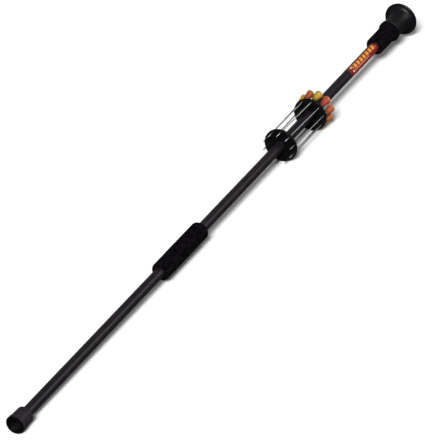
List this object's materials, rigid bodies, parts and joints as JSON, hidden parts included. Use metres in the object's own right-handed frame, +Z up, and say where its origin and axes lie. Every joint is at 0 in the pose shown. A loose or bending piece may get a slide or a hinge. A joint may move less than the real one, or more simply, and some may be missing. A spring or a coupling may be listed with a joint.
{
  "type": "blowgun with dart quiver",
  "caption": "Long straight black tube with foam grips, a bell mouthpiece, a rubber muzzle guard and a twin-disc quiver of steel darts with coloured cones.",
  "frame": {"origin": "on the tube's axis at its front (muzzle) end", "axes": "+X along the tube towards the mouthpiece, +Z up with the tube lying level, +Y to the left seen from the muzzle"},
  "size_m": [0.9347, 0.046, 0.0442],
  "materials": {
    "tube_coat": "matte",
    "label_film": "satin",
    "guard_rubber": "matte",
    "grip_foam": "matte",
    "bell_plastic": "gloss",
    "quiver_plastic": "satin",
    "wire_steel": "polished",
    "cone_red": "satin",
    "cone_orange": "satin",
    "cone_amber": "satin",
    "cone_yellow": "satin"
  },
  "bodies": {
    "barrel": {"tube": "tube_coat", "label": "label_film", "rear_grip": "grip_foam"},
    "mouthpiece": {"mouthpiece": "bell_plastic"},
    "muzzle_guard": {"muzzle_guard": "guard_rubber"},
    "front_grip": {"front_grip": "grip_foam"},
    "quiver": {"quiver_front_ring": "quiver_plastic", "quiver_rear_ring": "quiver_plastic"},
    "dart_01": {"dart_wire_01": "wire_steel", "dart_cone_01": "cone_red"},
    "dart_02": {"dart_wire_02": "wire_steel", "dart_cone_02": "cone_orange"},
    "dart_03": {"dart_wire_03": "wire_steel", "dart_cone_03": "cone_amber"},
    "dart_04": {"dart_wire_04": "wire_steel", "dart_cone_04": "cone_yellow"},
    "dart_05": {"dart_wire_05": "wire_steel", "dart_cone_05": "cone_orange"},
    "dart_06": {"dart_wire_06": "wire_steel", "dart_cone_06": "cone_red"},
    "dart_07": {"dart_wire_07": "wire_steel", "dart_cone_07": "cone_amber"},
    "dart_08": {"dart_wire_08": "wire_steel", "dart_cone_08": "cone_yellow"},
    "dart_09": {"dart_wire_09": "wire_steel", "dart_cone_09": "cone_orange"},
    "dart_10": {"dart_wire_10": "wire_steel", "dart_cone_10": "cone_yellow"}
  },
  "joints": [
    {"name": "mouthpiece_pull", "type": "slide", "parent": "barrel", "child": "mouthpiece", "axis": [1, 0, 0], "range_m": [0, 0.024]},
    {"name": "guard_pull", "type": "slide", "parent": "barrel", "child": "muzzle_guard", "axis": [-1, 0, 0], "range_m": [0, 0.024]},
    {"name": "front_grip_slide", "type": "slide", "parent": "barrel", "child": "front_grip", "axis": [1, 0, 0], "range_m": [-0.25, 0.06]},
    {"name": "quiver_slide", "type": "slide", "parent": "barrel", "child": "quiver", "axis": [1, 0, 0], "range_m": [-0.1, 0.06]},
    {"name": "dart_01_draw", "type": "slide", "parent": "quiver", "child": "dart_01", "axis": [0.9998, -0.0131, -0.0157], "range_m": [0, 0.093]},
    {"name": "dart_02_draw", "type": "slide", "parent": "quiver", "child": "dart_02", "axis": [0.9998, -0.0013, -0.0204], "range_m": [0, 0.093]},
    {"name": "dart_03_draw", "type": "slide", "parent": "quiver", "child": "dart_03", "axis": [0.9998, 0.0109, -0.0173], "range_m": [0, 0.093]},
    {"name": "dart_04_draw", "type": "slide", "parent": "quiver", "child": "dart_04", "axis": [0.9998, 0.019, -0.0076], "range_m": [0, 0.093]},
    {"name": "dart_05_draw", "type": "slide", "parent": "quiver", "child": "dart_05", "axis": [0.9998, 0.0198, 0.0051], "range_m": [0, 0.093]},
    {"name": "dart_06_draw", "type": "slide", "parent": "quiver", "child": "dart_06", "axis": [0.9998, 0.0131, 0.0157], "range_m": [0, 0.093]},
    {"name": "dart_07_draw", "type": "slide", "parent": "quiver", "child": "dart_07", "axis": [0.9998, 0.0013, 0.0204], "range_m": [0, 0.093]},
    {"name": "dart_08_draw", "type": "slide", "parent": "quiver", "child": "dart_08", "axis": [0.9998, -0.0109, 0.0173], "range_m": [0, 0.093]},
    {"name": "dart_09_draw", "type": "slide", "parent": "quiver", "child": "dart_09", "axis": [0.9998, -0.019, 0.0076], "range_m": [0, 0.093]},
    {"name": "dart_10_draw", "type": "slide", "parent": "quiver", "child": "dart_10", "axis": [0.9998, -0.0198, -0.0051], "range_m": [0, 0.093]}
  ]
}
